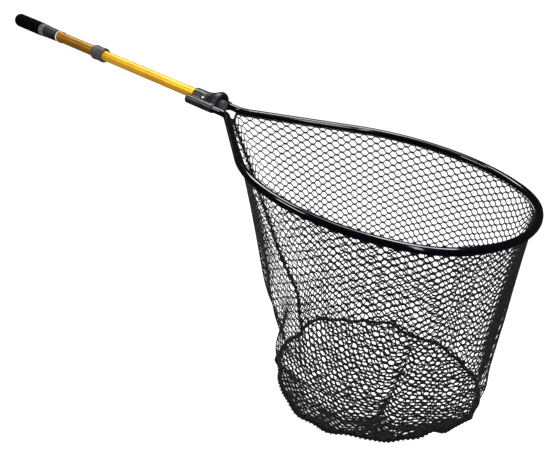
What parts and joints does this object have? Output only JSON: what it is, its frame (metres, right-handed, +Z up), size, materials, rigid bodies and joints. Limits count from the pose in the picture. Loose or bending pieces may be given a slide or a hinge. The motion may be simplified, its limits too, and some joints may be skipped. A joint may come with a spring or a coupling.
{
  "type": "landing net",
  "caption": "Long-handled landing net: telescoping tube handle with grip and twist lock, moulded yoke, teardrop tube hoop and deep flat-bottomed net bag.",
  "frame": {"origin": "centre of the flat face of the grip's butt, on the handle's axis", "axes": "+X along the handle towards the hoop, +Z up out of the open mouth of the bag, +Y to the side away from the snap button"},
  "size_m": [1.5062, 0.6148, 0.5238],
  "materials": {
    "grip_rubber": "matt moulded rubber with a fine pebbled grain",
    "light_grey_plastic": "satin",
    "dark_grey_plastic": "satin",
    "pale_nylon": "satin",
    "yellow_anodised": "bright orange-yellow anodised, glossy",
    "grey_plug": "satin",
    "black_moulding": "glossy black moulding",
    "bright_steel": "bright",
    "black_enamelled_aluminium": "deep gloss black enamel on aluminium tube",
    "splice_aluminium": "plain drawn rod",
    "black_twine": "black knotless netting twine"
  },
  "bodies": {
    "rear_section": {"grip": "grip_rubber", "grip_trim_ring": "light_grey_plastic", "grip_ferrule": "dark_grey_plastic", "ferrule_washer": "pale_nylon", "rear_tube": "yellow_anodised", "rear_tube_plug": "dark_grey_plastic", "lock_collet": "pale_nylon"},
    "lock_collar": {"lock_collar": "dark_grey_plastic"},
    "front_section": {"front_tube": "yellow_anodised", "front_tube_guide_bush": "pale_nylon", "front_tube_end_plug": "grey_plug"},
    "hoop_section": {"yoke": "black_moulding", "arm_screw_near": "bright_steel", "arm_screw_far": "bright_steel", "hoop_tube_near": "black_enamelled_aluminium", "hoop_tube_far": "black_enamelled_aluminium", "hoop_splice": "splice_aluminium", "net_hem_cord": "black_twine", "net_side_panel": "black_twine", "net_bottom_panel": "black_twine", "net_seam_cord": "black_twine", "net_side_seam": "black_twine", "snap_button_spring": "bright_steel"},
    "snap_button": {"snap_button": "bright_steel"}
  },
  "joints": [
    {"name": "lock_collar_turn", "type": "hinge", "parent": "rear_section", "child": "lock_collar", "pos_m": [0.3425, 0, 0], "axis": [1, 0, 0], "range_deg": [0, 90]},
    {"name": "handle_telescope", "type": "slide", "parent": "rear_section", "child": "front_section", "axis": [1, 0, 0], "range_m": [0, 0.2]},
    {"name": "hoop_slide", "type": "slide", "parent": "front_section", "child": "hoop_section", "axis": [1, 0, 0], "range_m": [-0.314, 0]},
    {"name": "snap_button_press", "type": "slide", "parent": "hoop_section", "child": "snap_button", "axis": [0, 0.9703, -0.2419], "range_m": [0, 0.002], "stiffness_N_per_m": 800, "deforming": ["snap_button_spring"]}
  ]
}
